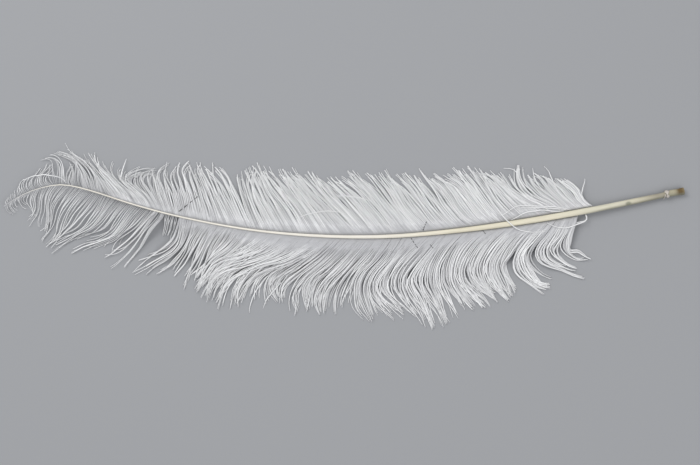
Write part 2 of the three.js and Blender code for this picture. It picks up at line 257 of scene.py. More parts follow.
INNER_SPLIT_LINES = (
    (171, 1, 159.7, -1, 153.6, -9.7, 149.6, -17.6, 148.7, -25.5, 151.8, -33.4, 159.7, -39.6, 168.5, -45.8,
     177.3, -50.6),
    (181, 1, 170.3, 1, 162.4, -8, 157, -15.8, 158, -23, 161.5, -30.8, 167.6, -37.8, 174.7, -42.2, 183, -43),
    (185.4, 1, 174.7, 1, 166, -8.8, 161.5, -16.7, 163.2, -23, 168.5, -29, 176.4, -34.8, 185.2, -37.4),
)
INNER_END_LINES = (
    (186.5, 1, 176.4, 0, 169.4, -8, 166.8, -15.8, 170.3, -23, 178.2, -27.3, 188.8, -30, 201, -33.4, 213.4,
     -34.3),
    (191.4, 1, 181.7, 0, 175.6, -8, 173.8, -14, 177.3, -20.2, 184.4, -24.6, 193.2, -27.3, 203.7, -30.4,
     211.6, -29.5),
    (194.4, 1, 187, 1, 180, -8, 178.2, -14, 181.7, -19.4, 188, -23.8, 195, -26.4),
    (197.8, 1, 191.4, 2.6, 185.2, -6.2, 182.6, -11.4, 186, -17.2, 192.3, -21, 199.3, -23.6, 206.4, -24.2),
    (201.4, 1, 198.4, 7, 194, -1.8, 193.2, -8.8, 195.8, -15, 201, -19.4, 208, -22, 216, -21),
    (204.4, 1, 202.8, 10.6, 200.2, 1.8, 199.3, -6.2, 199.3, -11.4, 206.4, -11.4, 212.5, -15.8, 217, -19.4),
)
SWEPT_LINES = (
    (-72.6, 0, -81.4, -5.3, -92, -12.3, -102.5, -16.7, -114, -20.2, -123.6, -25.5, -132.4, -32.6, -138.6,
     -40.5),
    (-56.8, 0, -65.6, -6.2, -76, -13.2, -88.4, -18, -100.8, -21, -113, -25.5, -122.8, -32.6, -129, -41.4,
     -133, -47.5),
    (-41, 0, -49.7, -8, -61.2, -15, -74.4, -19.4, -87.6, -23, -100.8, -27.3, -112.2, -33.4, -121, -42.2,
     -126, -52),
    (-26, 1, -34.8, -8, -46.2, -15.8, -59.4, -21, -72.6, -24.6, -85.8, -29, -98, -34.3, -108.7, -42.2,
     -121, -59),
    (-11, 1, -19.8, -8.8, -31.2, -16.7, -44.4, -23, -58.5, -27.3, -72.6, -31.7, -84, -38.7, -91, -47.5,
     -95.5, -53.7),
)

# Barbs that stray from their own place: the points that each passes, as (x, y, z).
STRAYS = (
    ((122, 41, 8), (132, 28, 9), (137, 21, 9.6), (141, 16, 10.6), (145, 12.3, 11), (149, 8.8, 10.2),
     (154, 6.2, 8.4), (163, 4.4, 7.6), (172, 4.4, 7.4), (178, 5.3, 7.2)),
    ((212.5, 20, 5), (213.5, 16.5, 5.6), (211.5, 13.8, 6), (203, 10.5, 7), (196, 8.2, 7.6),
     (190, 8.2, 7.6), (184, 9.6, 7.4), (178, 12.5, 7.4)),
    ((-39, 17.6, 10.2), (-32, 20.2, 10.8), (-23, 22, 11), (-14.5, 22.9, 11), (-5.7, 22, 10.8),
     (0.5, 20.2, 10.2)),
    ((-6.6, 36, 8.2), (0.4, 36.2, 8.6), (6.6, 35.4, 8.8), (13.6, 34.3, 9), (24.2, 31.7, 9.2)),
    ((199, 4, 4.6), (197, -5, 3.6), (199, -11, 2.6), (206, -11.5, 1.8), (211, -15, 1.2), (216, -19.5, 0.8)),
    ((189, 8, 5.6), (178, 5, 6.6), (168.5, 1, 6.8), (160, -1.5, 6.6)),
    ((169, 32, 5.4), (163, 38, 5), (156, 48, 4), (152.7, 53.7, 2.8), (150.9, 58.1, 2.2),
     (146.5, 60.3, 1.6), (140.4, 60.7, 1.2)),
    ((163.2, 38.7, 5.4), (157.1, 44.9, 5), (153.6, 51, 4), (152.7, 58.1, 2.4), (153.6, 63.4, 1.2)),
    ((177, 38, 5.2), (170, 47, 4.6), (167, 54, 3), (166, 61, 1.2)),
    ((192, 34, 5), (187, 42, 4.6), (181.7, 53.7, 3.4), (180, 58.1, 2), (176, 62.5, 1.2)),
    ((217.8, 27.3, 5), (212.5, 31.7, 5), (209, 37, 4.6), (209.9, 43, 4), (211.6, 48.4, 3), (212, 51.5, 2)),
    ((-198, 50, 5), (-196, 58, 4.4), (-192.5, 69, 2)),
    ((-206.4, -0.9, 5), (-219.6, -5.3, 4), (-231, -8.8, 2.6), (-240.7, -14.5, 1)),
    ((-245.1, 47.5, 7), (-247.7, 51, 7), (-253, 53.2, 6.8), (-259.2, 54.1, 6.6), (-264.4, 55, 6.4),
     (-269.7, 54.1, 6.2), (-274.1, 53.7, 6), (-278.5, 51.9, 6), (-283.8, 49.7, 6)),
    ((-70, -36, 3), (-79, -49, 2), (-83.5, -61, 1), (-84, -67, 0.8)),
    ((212, 20, 5), (212.9, 17.2, 4.8), (212.8, 15.5, 4.6), (211.2, 14, 4.5), (206.5, 13.1, 4.8),
     (200.5, 12, 5.4), (194.5, 11.3, 6)),
    ((212, 20, 4.8), (213, 17.2, 4.6), (213, 15.4, 4.4), (211.5, 13.9, 4.3), (207.2, 12.3, 4.4),
     (201.1, 10.9, 5), (195, 10, 5.8)),
    ((205, 19, 5), (204.2, 17.5, 5), (203.3, 13.6, 5.2), (198.4, 12.3, 5.6), (192, 11.8, 6)),
    ((194.9, 23.3, 5.2), (188.1, 22.6, 6.4), (183.2, 22.7, 7.2), (178.2, 23.4, 7.8), (172.9, 23.8, 8),
     (167.8, 22.9, 8.2), (161.3, 22.2, 8.4), (156.4, 20.4, 8.4), (151.4, 17.5, 8.2), (146.1, 14.8, 7.8)),
    ((196.7, 23.8, 5.2), (189.6, 24.7, 6.8), (180.8, 25.3, 7.8), (172, 25.9, 8.2), (163.2, 26.1, 8.4),
     (154.9, 25.9, 8.6)),
    ((199.3, 23.8, 5.2), (189.6, 26, 7), (180.8, 26.8, 8), (172, 27.1, 8.4), (163.2, 27.5, 8.6),
     (155.3, 27.6, 8.8), (150.5, 26.9, 8.9), (145.6, 23.9, 9), (139.7, 20, 8.8), (136.8, 19, 8.4)),
    ((-56, -40, 2.2), (-68, -54, 1.2), (-72, -63, 0.1)),
)

# Dark fibres caught in the vanes: the points that each passes, as (x, y, z). Each shows in short dashes.
DARK_FIBRES = (
    ((-145.6, 22.4, 9.8), (-142, 25, 10.1), (-137.7, 28.6, 10.1), (-133.3, 32, 9.9), (-128, 36.5, 9.4)),
    ((69, 5.7, 8.8), (70, 8.8, 9.2), (72.2, 14, 9.5)),
    ((58.5, -0.9, 8.6), (61.2, -5.3, 9.1), (64.7, -10, 9.3)),
    ((75.2, -6.6, 9), (78, -10, 9.1)),
    ((121.4, 6.2, 7.6), (124, 2.6, 7.9)),
)
DASHES = ((0, 0.2), (0.26, 0.5), (0.55, 0.7), (0.76, 1))  # shares of a fibre's length

# The loose strands: (piece, half width, share of the full barbule length, tone, seed).
STRAY_MAKE = ("stray_barbs", 0.42, 0.4, 0.95, 5)
FIBRE_MAKE = ("dark_fibres", 0.3, 0.2, 0, 6)

# The ring of skin round the quill, and the line of the flake that hangs from it.
SKIN_SEED = 3
SKIN_MIDDLE = 284.1
SKIN_WIDTH = 2.2
SKIN_LIFT = 1.04  # of the quill's half width
SKIN_THICKNESS = 0.3
FLAKE = ((282.5, 37.5, 7.2), (282, 35.6, 6.6), (281.6, 34, 4.6), (281, 33, 2.6))
FLAKE_WIDTH = 1.1
FLAKE_THICKNESS = 0.25
FLAKE_POINTS = 12

# How the barbs gather and end. The columns are: x of the root; where along the barb the locks start to
# gather and where they are gathered; how much they gather, and how much more on a line of their own; where
# the few barbs of a strand start to cling, and how much; how much the under barbs join in, and how long they
# are beside the upper ones; how far the tips curl and hook; how much shorter than its line a strand may be;
# and how dull the barbs are beside the shaft.
OUTER_GATHER = (
    (-300, 0.4, 0.9, 0.2, 0.3, 0.1, 0.7, 0, 0.3, 2, 3, 0.24, 0.2),
    (-240, 0.4, 0.8, 0.25, 0.45, 0.1, 0.85, 0.6, 0.5, 2.4, 3, 0.2, 0.2),
    (-190, 0.5, 0.9, 0.25, 0.5, 0.3, 0.85, 0.8, 0.7, 3, 4, 0.2, 0.25),
    (-115, 0.6, 1, 0.25, 0.45, 0.35, 0.85, 0.8, 0.85, 3, 4, 0.2, 0.3),
    (-90, 0.65, 1, 0.16, 0.1, 0.4, 0.8, 0.75, 0.88, 3, 4, 0.17, 0.3),
    (-20, 0.72, 1, 0.12, 0.1, 0.48, 0.78, 0.65, 0.92, 2.6, 3.4, 0.15, 0.35),
    (40, 0.72, 1, 0.06, 0.05, 0.52, 0.7, 0.5, 0.95, 1.7, 2.2, 0.13, 0.4),
    (230, 0.7, 1, 0.07, 0.12, 0.5, 0.65, 0.45, 0.95, 1.4, 1.6, 0.12, 0.3),
)
INNER_GATHER = (
    (-300, 0.4, 0.9, 0.25, 0.3, 0.05, 0.8, 0, 0.2, 2, 1.5, 0.24, 0.3),
    (-230, 0.35, 0.8, 0.3, 0.35, 0.03, 0.92, 0.7, 0.3, 2, 1.5, 0.2, 0.4),
    (-165, 0.4, 0.8, 0.3, 0.35, 0.05, 0.92, 0.8, 0.45, 2, 1.5, 0.2, 0.5),
    (-120, 0.45, 0.85, 0.3, 0.4, 0.25, 0.9, 0.85, 0.8, 3.4, 2.8, 0.3, 0.7),
    (-60, 0.4, 0.8, 0.35, 0.55, 0.4, 0.9, 0.9, 0.88, 3, 2.4, 0.24, 0.8),
    (0, 0.58, 0.92, 0.28, 0.45, 0.6, 0.92, 0.9, 0.93, 2.4, 1.6, 0.18, 1),
    (60, 0.66, 0.96, 0.22, 0.4, 0.7, 0.92, 0.9, 0.96, 2.4, 1.4, 0.15, 0.95),
    (160, 0.52, 0.88, 0.22, 0.48, 0.62, 0.92, 0.9, 0.96, 2, 1, 0.12, 0.75),
    (220, 0.4, 0.75, 0.3, 0.55, 0.42, 0.9, 0.92, 0.95, 1.6, 1, 0.06, 0.6),
)

# Each vane: how its barbs gather; its stretches, each with its lines, how many barbs grow from one root,
# and how much the barbs are lifted and brightened; from which x, going from the tip, the under barbs begin,
# and where all of them are there; how much painted shade darkens the barbs' feet, and up to which share
# of the barb; and how far the barbs sway. The pieces are named for where they are: (name, first x, last x).
VANES = {
    "outer": {
        "side": 1,
        "node": "outer_vane",
        "seed": 11,
        "gather": OUTER_GATHER,
        "stretches": ((OUTER_LINES, 3, 0, 0),),
        "layered": (-250, -185),
        "foot_shade": (0.4, 0.08),
        "sway": 1.2,
        "pieces": (
            ("outer_barbs_tip", -300, -150),
            ("outer_barbs_front", -150, -20),
            ("outer_barbs_back", -20, 100),
            ("outer_barbs_quill", 100, 300),
        ),
    },
    "inner": {
        "side": -1,
        "node": "inner_vane",
        "seed": 23,
        "gather": INNER_GATHER,
        "stretches": (
            (INNER_TIP_LINES, 3, 0, 0),
            (BROKEN_LINES, 1, 0, 0),
            (INNER_LINES, 3, 0, 0),
            (SWEPT_LINES, 3, 0.7, 0.16),
            (INNER_LOCK_LINES, 3, 0, 0),
            (INNER_SPLIT_LINES, 3, 0, 0),
            (INNER_END_LINES, 3, 0, 0),
        ),
        "layered": (-180, -145),
        "foot_shade": (0.1, 0.06),
        "sway": 1.6,
        "pieces": (
            ("inner_barbs_tip", -300, -150),
            ("inner_barbs_front", -150, -20),
            ("inner_barbs_back", -20, 100),
            ("inner_barbs_quill", 100, 300),
        ),
    },
}

# How thick the barbs are, and how long their barbules: (x of the root, half width, share of full length).
BARB_WIDTHS = (
    (-300, 0.24, 0.3),
    (-240, 0.29, 0.35),
    (-165, 0.33, 0.45),
    (-130, 0.45, 0.85),
    (0, 0.5, 1),
    (120, 0.55, 1),
    (230, 0.6, 1),
)
# How the barbs are spaced: (x of the root, millimetres from root to root, how many roots make a strand).
ROOT_SPACING = ((-300, 1.4, 1.6), (-235, 1.2, 2), (-160, 1.15, 2), (-130, 1.6, 1.7), (230, 1.7, 1.7))

STATIONS = 18  # spans along each barb
FINE_STEPS = 800  # steps along a stretch of shaft, to space its roots
ROOT_REACH = 0.95  # of the shaft's half width
FOOT_DROP = 0.25  # of the shaft's half width, from its middle down to the barbs' feet
MOST_GATHERED = 0.9
MOST_CLINGING = 0.95
CLING_SPAN = 0.45  # how much of a barb it takes to close a strand
UNDER_WEIGHT = 0.1  # of an under barb beside an upper one, in a strand's middle line
REACH = 1.04  # how far a barb reaches, as a share of its line
SWAY_LENGTH = 80  # the length of barb that sways and curls as far as the tables say
DRAPE_END = 0.75  # the share of a barb at which it comes down to the surface
ARCH = 3
FULL_LENGTH = 50  # shorter barbs arch less
LIE_HEIGHT = 0.3  # of a barb's middle over the surface
LOWEST = 0.02
UPPER_WIDTH = 0.9  # of an upper barb, as a share of the table's width
UNDER_WIDTH = 1.45
FLATNESS = 0.3  # thickness of a barb as a share of its width
THINNING = 0.52  # of an upper barb's width, at its tip
UNDER_THINNING = 0.65
UNDER_BARBULES = 0.4  # how many barbules an under barb has beside an upper one
BARBULE_FOOT = 0.13  # half the length of a barbule's foot
BARBULE_LEAN = (14, 32)  # degrees away from its barb
BARBULE_ROLL = 60  # degrees up and down
BARB_TONE = 0.82
UNDER_SHADE = 0.3  # painted shade: how much darker the under barbs are, beneath the upper ones
TIP_SHINE = 0.22  # how much brighter the barbs' ends are
TIP_GREY = 0.15  # how much duller the barbs are at the plume's tip
TIP_GREY_END = (-260, -170)  # from x to x
BARBULE_SHINE = 0.08

# The stage. The camera looks straight down. It sees FRAME_WIDTH across, about FRAME_CENTRE.
CAMERA_HEIGHT = 1600
CAMERA_BASE = 6  # the height in focus, from which the camera's height counts
FRAME_WIDTH = 616
FRAME_CENTRE = (4.8, 4)
SENSOR_WIDTH = 36
FLOOR_SIZE = 4000
FLOOR_DROP = 0.2
SKY = (0.95, 0.965, 1, 1)
SKY_STRENGTH = 0.6
LAMPS = (  # (name, place in metres, size in metres, watts)
    ("key_lamp", (-0.8, 1, 1.7), 1.2, 29),
    ("fill_lamp", (0.9, -0.7, 1.8), 1.8, 17),
)


def smooth(t, start, end):
    """0 before start, 1 after end, and a smooth rise between them."""
    s = np.clip((t - start) / (end - start), 0, 1)
    return s * s * (3 - 2 * s)


def along(rows, x):
    """Every column of a table at each x, on a smooth curve through its rows."""
    table = np.array(rows, float)
    x = np.atleast_1d(np.asarray(x, float))
    keys = table[:, 0]
    last = len(table) - 1
    before = np.maximum(np.arange(last + 1) - 1, 0)
    after = np.minimum(np.arange(last + 1) + 1, last)
    slopes = (table[after] - table[before]) / (keys[after] - keys[before])[:, None]
    i = np.clip(np.searchsorted(keys, x, side="right") - 1, 0, last - 1)
    span = (keys[i + 1] - keys[i])[:, None]
    t = np.clip((x - keys[i])[:, None] / span, 0, 1)
    return (
        table[i] * (1 + 2 * t) * (1 - t) ** 2
        + table[i + 1] * t * t * (3 - 2 * t)
        + span * t * (1 - t) * (slopes[i] * (1 - t) - slopes[i + 1] * t)
    )


def shaft_at(x):
    """The shaft's centre, its half width and the level vector across it to +Y, at each x."""
    x = np.atleast_1d(np.asarray(x, float))
    values = along(SHAFT, x)
    centre = np.stack([x, values[:, 1], values[:, 2]], 1)
    slope = along(SHAFT, x + 0.5)[:, 1] - along(SHAFT, x - 0.5)[:, 1]
    across = np.stack([-slope, np.ones_like(x), np.zeros_like(x)], 1)
    return centre, values[:, 3], across / np.linalg.norm(across, axis=1)[:, None]


def drawing_offset():
    """What moves the drawing frame, in millimetres, onto the CAD shaft."""
    low, high = (np.array(corner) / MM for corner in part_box("shaft"))
    x = np.linspace(SHAFT_TIP, SHAFT_END, 400)
    centre, radius, across = shaft_at(x)
    edges = np.concatenate([centre + across * radius[:, None], centre - across * radius[:, None]])
    drawn = (edges.min(0) + edges.max(0)) / 2
    return np.array([(low[0] + high[0]) / 2 - drawn[0], (low[1] + high[1]) / 2 - drawn[1], 0])


OFFSET = drawing_offset()


def placed(points):
    """Points of the drawing frame, in metres of the model's frame."""
    return (np.asarray(points, float) + OFFSET) * MM


# ---------------------------------------------------------------------------------------------------
# Settings
# ---------------------------------------------------------------------------------------------------


class PlumeForm(bpy.types.PropertyGroup):
    """Sizes of the plume that a user would change."""

    barbule_length: FloatProperty(
        name="Barbule length",
        description="Length of the longest barbules, from the barb's edge",
        default=1.5 * MM,
        unit="LENGTH",
    )
    barbule_spacing: FloatProperty(
        name="Barbule spacing",
        description="Distance between the barbules along one edge of a barb",
        default=1.25 * MM,
        unit="LENGTH",
    )
    lock_width: FloatProperty(
        name="Lock width",
        description="Length of shaft that an average lock of barbs grows from",
        default=11 * MM,
        unit="LENGTH",
    )
    shaft_sides: IntProperty(
        name="Shaft sides",
        description="Number of flat sides that the shaft has before it is smoothed",
        default=16,
    )


def colour_setting(name, of, default):
    """A colour that a user would change."""
    return FloatVectorProperty(name=name, description=f"Colour of {of}", default=default, subtype="COLOR")


class PlumeColours(bpy.types.PropertyGroup):
    """Colours of the plume that a user would change."""

    barb: colour_setting("Barb", "the bright barbs", (0.85, 0.85, 0.85))
    barb_shade: colour_setting("Barb shade", "the dull barbs", (0.42, 0.42, 0.432))
    ivory: colour_setting("Ivory", "the thick part of the shaft", (0.6, 0.56, 0.44))
    ivory_pale: colour_setting("Pale ivory", "the thin part of the shaft", (0.68, 0.65, 0.58))
    quill_pale: colour_setting("Pale quill", "the bare quill beside the barbs", (0.54, 0.515, 0.41))
    quill: colour_setting("Quill", "the bare quill past its middle", (0.48, 0.45, 0.345))
    quill_dull: colour_setting("Dull quill", "the greyed part of the quill", (0.29, 0.265, 0.205))
    papery: colour_setting("Papery quill", "the papery part of the quill", (0.36, 0.33, 0.235))
    # Painted shade: this colour also greys the quill's lower side, besides the grey smudge on the quill.
    smudge: colour_setting("Smudge", "the grey smudge and the lower edge of the quill", (0.2, 0.2, 0.15))
    fibre: colour_setting("Fibre", "the dark fibres caught in the vanes", (0.02, 0.02, 0.022))
    skin: colour_setting("Skin", "the skin that peels from the quill", (0.47, 0.43, 0.385))
    cut_end: colour_setting("Cut end", "the dried cut end", (0.127, 0.085, 0.035))
    cut_edge: colour_setting("Cut edge", "the worn rim of the cut end", (0.22, 0.17, 0.09))
    floor: colour_setting("Floor", "the surface under the plume", (0.27, 0.275, 0.285))


# ---------------------------------------------------------------------------------------------------
# Materials
# ---------------------------------------------------------------------------------------------------


def set_inputs(tree, node, inputs):
    """Links each input of a node to an output, or sets its value."""
    for key, value in inputs.items():
        if isinstance(value, bpy.types.NodeSocket):
            tree.links.new(value, node.inputs[key])
        else:
            node.inputs[key].default_value = value


def add_node(tree, kind, inputs=None, **settings):
    """A shader node with its settings and inputs."""
    node = tree.nodes.new(f"ShaderNode{kind}")
    for key, value in settings.items():
        setattr(node, key, value)
    set_inputs(tree, node, inputs or {})
    return node


def new_material(name):
    """A material with only a Principled shader and an output, its node tree and its shader."""
    material = bpy.data.materials.new(name)
    material.use_nodes = True
    return material, material.node_tree, material.node_tree.nodes["Principled BSDF"]


def mapped(tree, value, start, end, most=1, kind="SMOOTHSTEP"):
    """A node output that goes from 0 to most as the value goes from start to end."""
    inputs = {"Value": value, "From Min": start, "From Max": end, "To Max": most}
    return add_node(tree, "MapRange", inputs, interpolation_type=kind).outputs[0]


def multiplied(tree, first, second):
    """A node output that is one number multiplied by another."""
    return add_node(tree, "Math", {0: first, 1: second}, operation="MULTIPLY").outputs[0]


def mixed(tree, factor, first, second):
    """A node output that goes from the first colour to the second with the factor."""
    return add_node(tree, "Mix", {0: factor, 6: first, 7: second}, data_type="RGBA").outputs[2]


def tinted(tree, colour, tint):
    """A node output that is the colour multiplied by the tint."""
    return add_node(tree, "VectorMath", {0: colour, "Scale": tint}, operation="SCALE").outputs[0]


def bumped(tree, height, strength):
    """A normal that follows a height."""
    inputs = {"Height": height, "Strength": strength, "Distance": BUMP_DISTANCE * MM}
    return add_node(tree, "Bump", inputs).outputs["Normal"]


def patch_mask(tree, grain, middle, size, soft):
    """A soft-edged patch on the shaft, about a middle (run, aside, above), with its half sizes."""
    away = add_node(tree, "VectorMath", {0: grain, 1: middle}, operation="SUBTRACT")
    scaled = add_node(tree, "VectorMath", {0: away.outputs[0], 1: size}, operation="DIVIDE")
    far = add_node(tree, "VectorMath", {0: scaled.outputs[0]}, operation="LENGTH")
    return mapped(tree, far.outputs["Value"], 1 + soft, 1 - soft)


def streak_group():
    """Long streaks that run with the growth of the shaft: a tint to multiply by, and a height."""
    if "Growth streaks" in bpy.data.node_groups:
        return bpy.data.node_groups["Growth streaks"]
    tree = bpy.data.node_groups.new("Growth streaks", "ShaderNodeTree")
    for name, way, kind in (
        ("Grain", "INPUT", "Vector"),
        ("Scale", "INPUT", "Float"),
        ("Depth", "INPUT", "Float"),
        ("Tint", "OUTPUT", "Float"),
        ("Height", "OUTPUT", "Float"),
    ):
        tree.interface.new_socket(name, in_out=way, socket_type=f"NodeSocket{kind}")
    into, out = tree.nodes.new("NodeGroupInput").outputs, tree.nodes.new("NodeGroupOutput")
    look = {"Vector": into["Grain"], "Scale": into["Scale"], "Detail": 5, "Roughness": 0.6}
    noise = add_node(tree, "TexNoise", look).outputs["Fac"]
    centred = add_node(tree, "Math", {0: noise, 1: 0.5}, operation="SUBTRACT").outputs[0]
    tint = add_node(tree, "Math", {0: centred, 1: into["Depth"], 2: 1}, operation="MULTIPLY_ADD").outputs[0]
    set_inputs(tree, out, {"Tint": tint, "Height": noise})
    return tree


def add_streaks(tree, grain, scale, depth):
    """The growth streaks' tint and height, along the grain."""
    inputs = {"Grain": grain, "Scale": scale, "Depth": depth}
    streaks = add_node(tree, "Group", inputs, node_tree=streak_group())
    return streaks.outputs["Tint"], streaks.outputs["Height"]


def barb_material(colours):
    """Matt white down: each barb has its own tone, and the barbs dull towards the shaft."""
    if "plume_down" in bpy.data.materials:
        return bpy.data.materials["plume_down"]
    material, tree, shader = new_material("plume_down")
    # The tone also carries painted shade: darker barb feet beside the shaft and darker under barbs.
    tone = add_node(tree, "Attribute", attribute_name="tone").outputs["Fac"]
    colour = mixed(tree, tone, (*colours.barb_shade, 1), (*colours.barb, 1))
    look = {"Base Color": colour, "Roughness": 0.75, "Specular IOR Level": 0.25, "Sheen Weight": 0.2}
    set_inputs(tree, shader, look)
    return material


def shaft_material(colours):
    """Satin keratin: ivory by places, with growth streaks, a grey smudge, painted shade along the quill's
    lower side and a dried brown end.
    """
    material, tree, shader = new_material("plume_shaft")
    grain = add_node(tree, "Attribute", attribute_name="grain").outputs["Vector"]
    run, aside, _ = add_node(tree, "SeparateXYZ", {0: grain}).outputs
    share = mapped(tree, run, SHAFT_TIP / GRAIN_LENGTH, SHAFT_END / GRAIN_LENGTH, kind="LINEAR")
    ramp = add_node(tree, "ValToRGB", {0: share})
    stops = (
        (-300, colours.barb_shade),
        (-250, colours.ivory_pale),
        (20, colours.ivory_pale),
        (100, colours.ivory),
        (185, colours.ivory),
        (220, colours.quill_pale),
        (242, colours.quill_pale),
        (256, colours.quill),
        (275, colours.quill_dull),
        (281, colours.quill_dull),
        (286, colours.papery),
        (BROWN_START - 1.2, colours.papery),
        (BROWN_START, colours.cut_end),
        (BROWN_END, colours.cut_end),
        (SHAFT_END, colours.cut_edge),
    )
    elements = ramp.color_ramp.elements
    while len(elements) < len(stops):
        elements.new(0.5)
    for element, (x, colour) in zip(elements, stops):
        element.position = (x - SHAFT_TIP) / (SHAFT_END - SHAFT_TIP)
        element.color = (*colour, 1)
    tint, height = add_streaks(tree, grain, scale=2.2, depth=0.45)
    colour = tinted(tree, ramp.outputs[0], tint)
    # Painted shade: the quill's lower side, away from the key lamp, is greyed towards its edge.
    lower = mapped(tree, aside, 0.1, -0.95)
    bare = mapped(tree, run, 205 / GRAIN_LENGTH, 235 / GRAIN_LENGTH, most=0.75)
    grey = (*colours.smudge, 1)
    colour = mixed(tree, multiplied(tree, lower, bare), colour, grey)
    smudge = patch_mask(tree, grain, SMUDGE_MIDDLE, SMUDGE_SIZE, 0.5)
    colour = mixed(tree, multiplied(tree, smudge, 0.9), colour, grey)
    look = {"Base Color": colour, "Roughness": 0.5, "Specular IOR Level": 0.25}
    set_inputs(tree, shader, {"Normal": bumped(tree, height, 0.25), **look})
    return material


def streaked_material(name, colour, scale, depth, roughness, bump=0):
    """A dry material, uneven along its fibres."""
    material, tree, shader = new_material(name)
    place = add_node(tree, "TexCoord").outputs["Object"]
    tint, height = add_streaks(tree, place, scale, depth)
    set_inputs(tree, shader, {"Base Color": tinted(tree, colour, tint), "Roughness": roughness})
    if bump:
        set_inputs(tree, shader, {"Normal": bumped(tree, height, bump)})
    return material


def skin_material(colours):
    """Dry whitish skin that peels from the quill."""
    return streaked_material("quill_skin", colours.skin, scale=900, depth=0.5, roughness=0.8, bump=0.4)


def fibre_material(colours):
    """Dark dusty fibre, uneven along its length."""
    return streaked_material("dark_fibre", colours.fibre, scale=400, depth=1.2, roughness=0.85)


def floor_material(colours):
    """Plain pale board."""
    material, tree, shader = new_material("floor_board")
    set_inputs(tree, shader, {"Base Color": (*colours.floor, 1), "Roughness": 0.9})
    return material


# ---------------------------------------------------------------------------------------------------
# Mesh helpers
# ---------------------------------------------------------------------------------------------------


def mesh_object(name, points, quads, triangles, tones):
    """A smooth-shaded mesh object from arrays, with a tone at each point."""
    mesh = bpy.data.meshes.new(name)
    mesh.vertices.add(len(points))
    mesh.vertices.foreach_set("co", np.asarray(points, np.float32).ravel())
    corners = np.concatenate([quads.ravel(), triangles.ravel()]).astype(np.int32)
    sizes = np.concatenate([np.full(len(quads), 4), np.full(len(triangles), 3)])
    starts = np.concatenate([[0], np.cumsum(sizes)[:-1]]).astype(np.int32)
    mesh.loops.add(len(corners))
    mesh.loops.foreach_set("vertex_index", corners)
    mesh.polygons.add(len(sizes))
    mesh.polygons.foreach_set("loop_start", starts)
    mesh.polygons.foreach_set("use_smooth", np.ones(len(sizes), bool))
    mesh.attributes.new("tone", "FLOAT", "POINT").data.foreach_set("value", np.asarray(tones, np.float32))
    mesh.update(calc_edges=True)
    made = bpy.data.objects.new(name, mesh)
    bpy.context.scene.collection.objects.link(made)
    return made


def grid_mesh(cuts):
    """Cuts every face of the active object into a grid."""
    bpy.ops.object.mode_set(mode="EDIT")
    bpy.ops.mesh.select_all(action="SELECT")
    bpy.ops.mesh.subdivide(number_cuts=cuts)
    bpy.ops.object.mode_set(mode="OBJECT")


def select_faces(made, wanted):
    """Goes into edit mode with only the wanted faces of the active object selected."""
    bpy.ops.object.mode_set(mode="EDIT")
    bpy.ops.mesh.select_mode(type="FACE")
    bpy.ops.mesh.select_all(action="DESELECT")
    bpy.ops.object.mode_set(mode="OBJECT")
    for face in made.data.polygons:
        face.select = wanted(face)
    bpy.ops.object.mode_set(mode="EDIT")


def finish_piece(made, material, slot, *nodes):
    """Gives a piece its material, and says what it rides on and replaces. The slot argument is not used."""
    made.data.materials.clear()
    made.data.materials.append(material)
    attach(made, BODY)
    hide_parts(*nodes)


def positions(made):
    """The places of a mesh's vertices, in millimetres of the drawing frame."""
    values = np.empty(len(made.data.vertices) * 3)
    made.data.vertices.foreach_get("co", values)
    return values.reshape(-1, 3) / MM - OFFSET


def set_positions(made, points):
    """Moves a mesh's vertices to points of the drawing frame."""
    made.data.vertices.foreach_set("co", placed(points).ravel())
    made.data.update()


# ---------------------------------------------------------------------------------------------------
# The shaft
# ---------------------------------------------------------------------------------------------------


def on_shaft(points):
    """Where points are on the shaft: the x of the nearest centre, how far to +Y and up as shares of the
    half width, the centre, and the half width."""
    run = points[:, 0].copy()
    for _ in range(6):
        centre, _, across = shaft_at(np.clip(run, SHAFT_TIP, SHAFT_END))
        run += (points[:, 0] - run) - (points[:, 1] - centre[:, 1]) * across[:, 0] / across[:, 1]
        run = np.clip(run, SHAFT_TIP - RUN_OUT, SHAFT_END + RUN_OUT)
    centre, size, across = shaft_at(np.clip(run, SHAFT_TIP, SHAFT_END))
    away = points - centre
    aside = (away * across).sum(1) / size
    return run, aside, away[:, 2] / size, centre, size


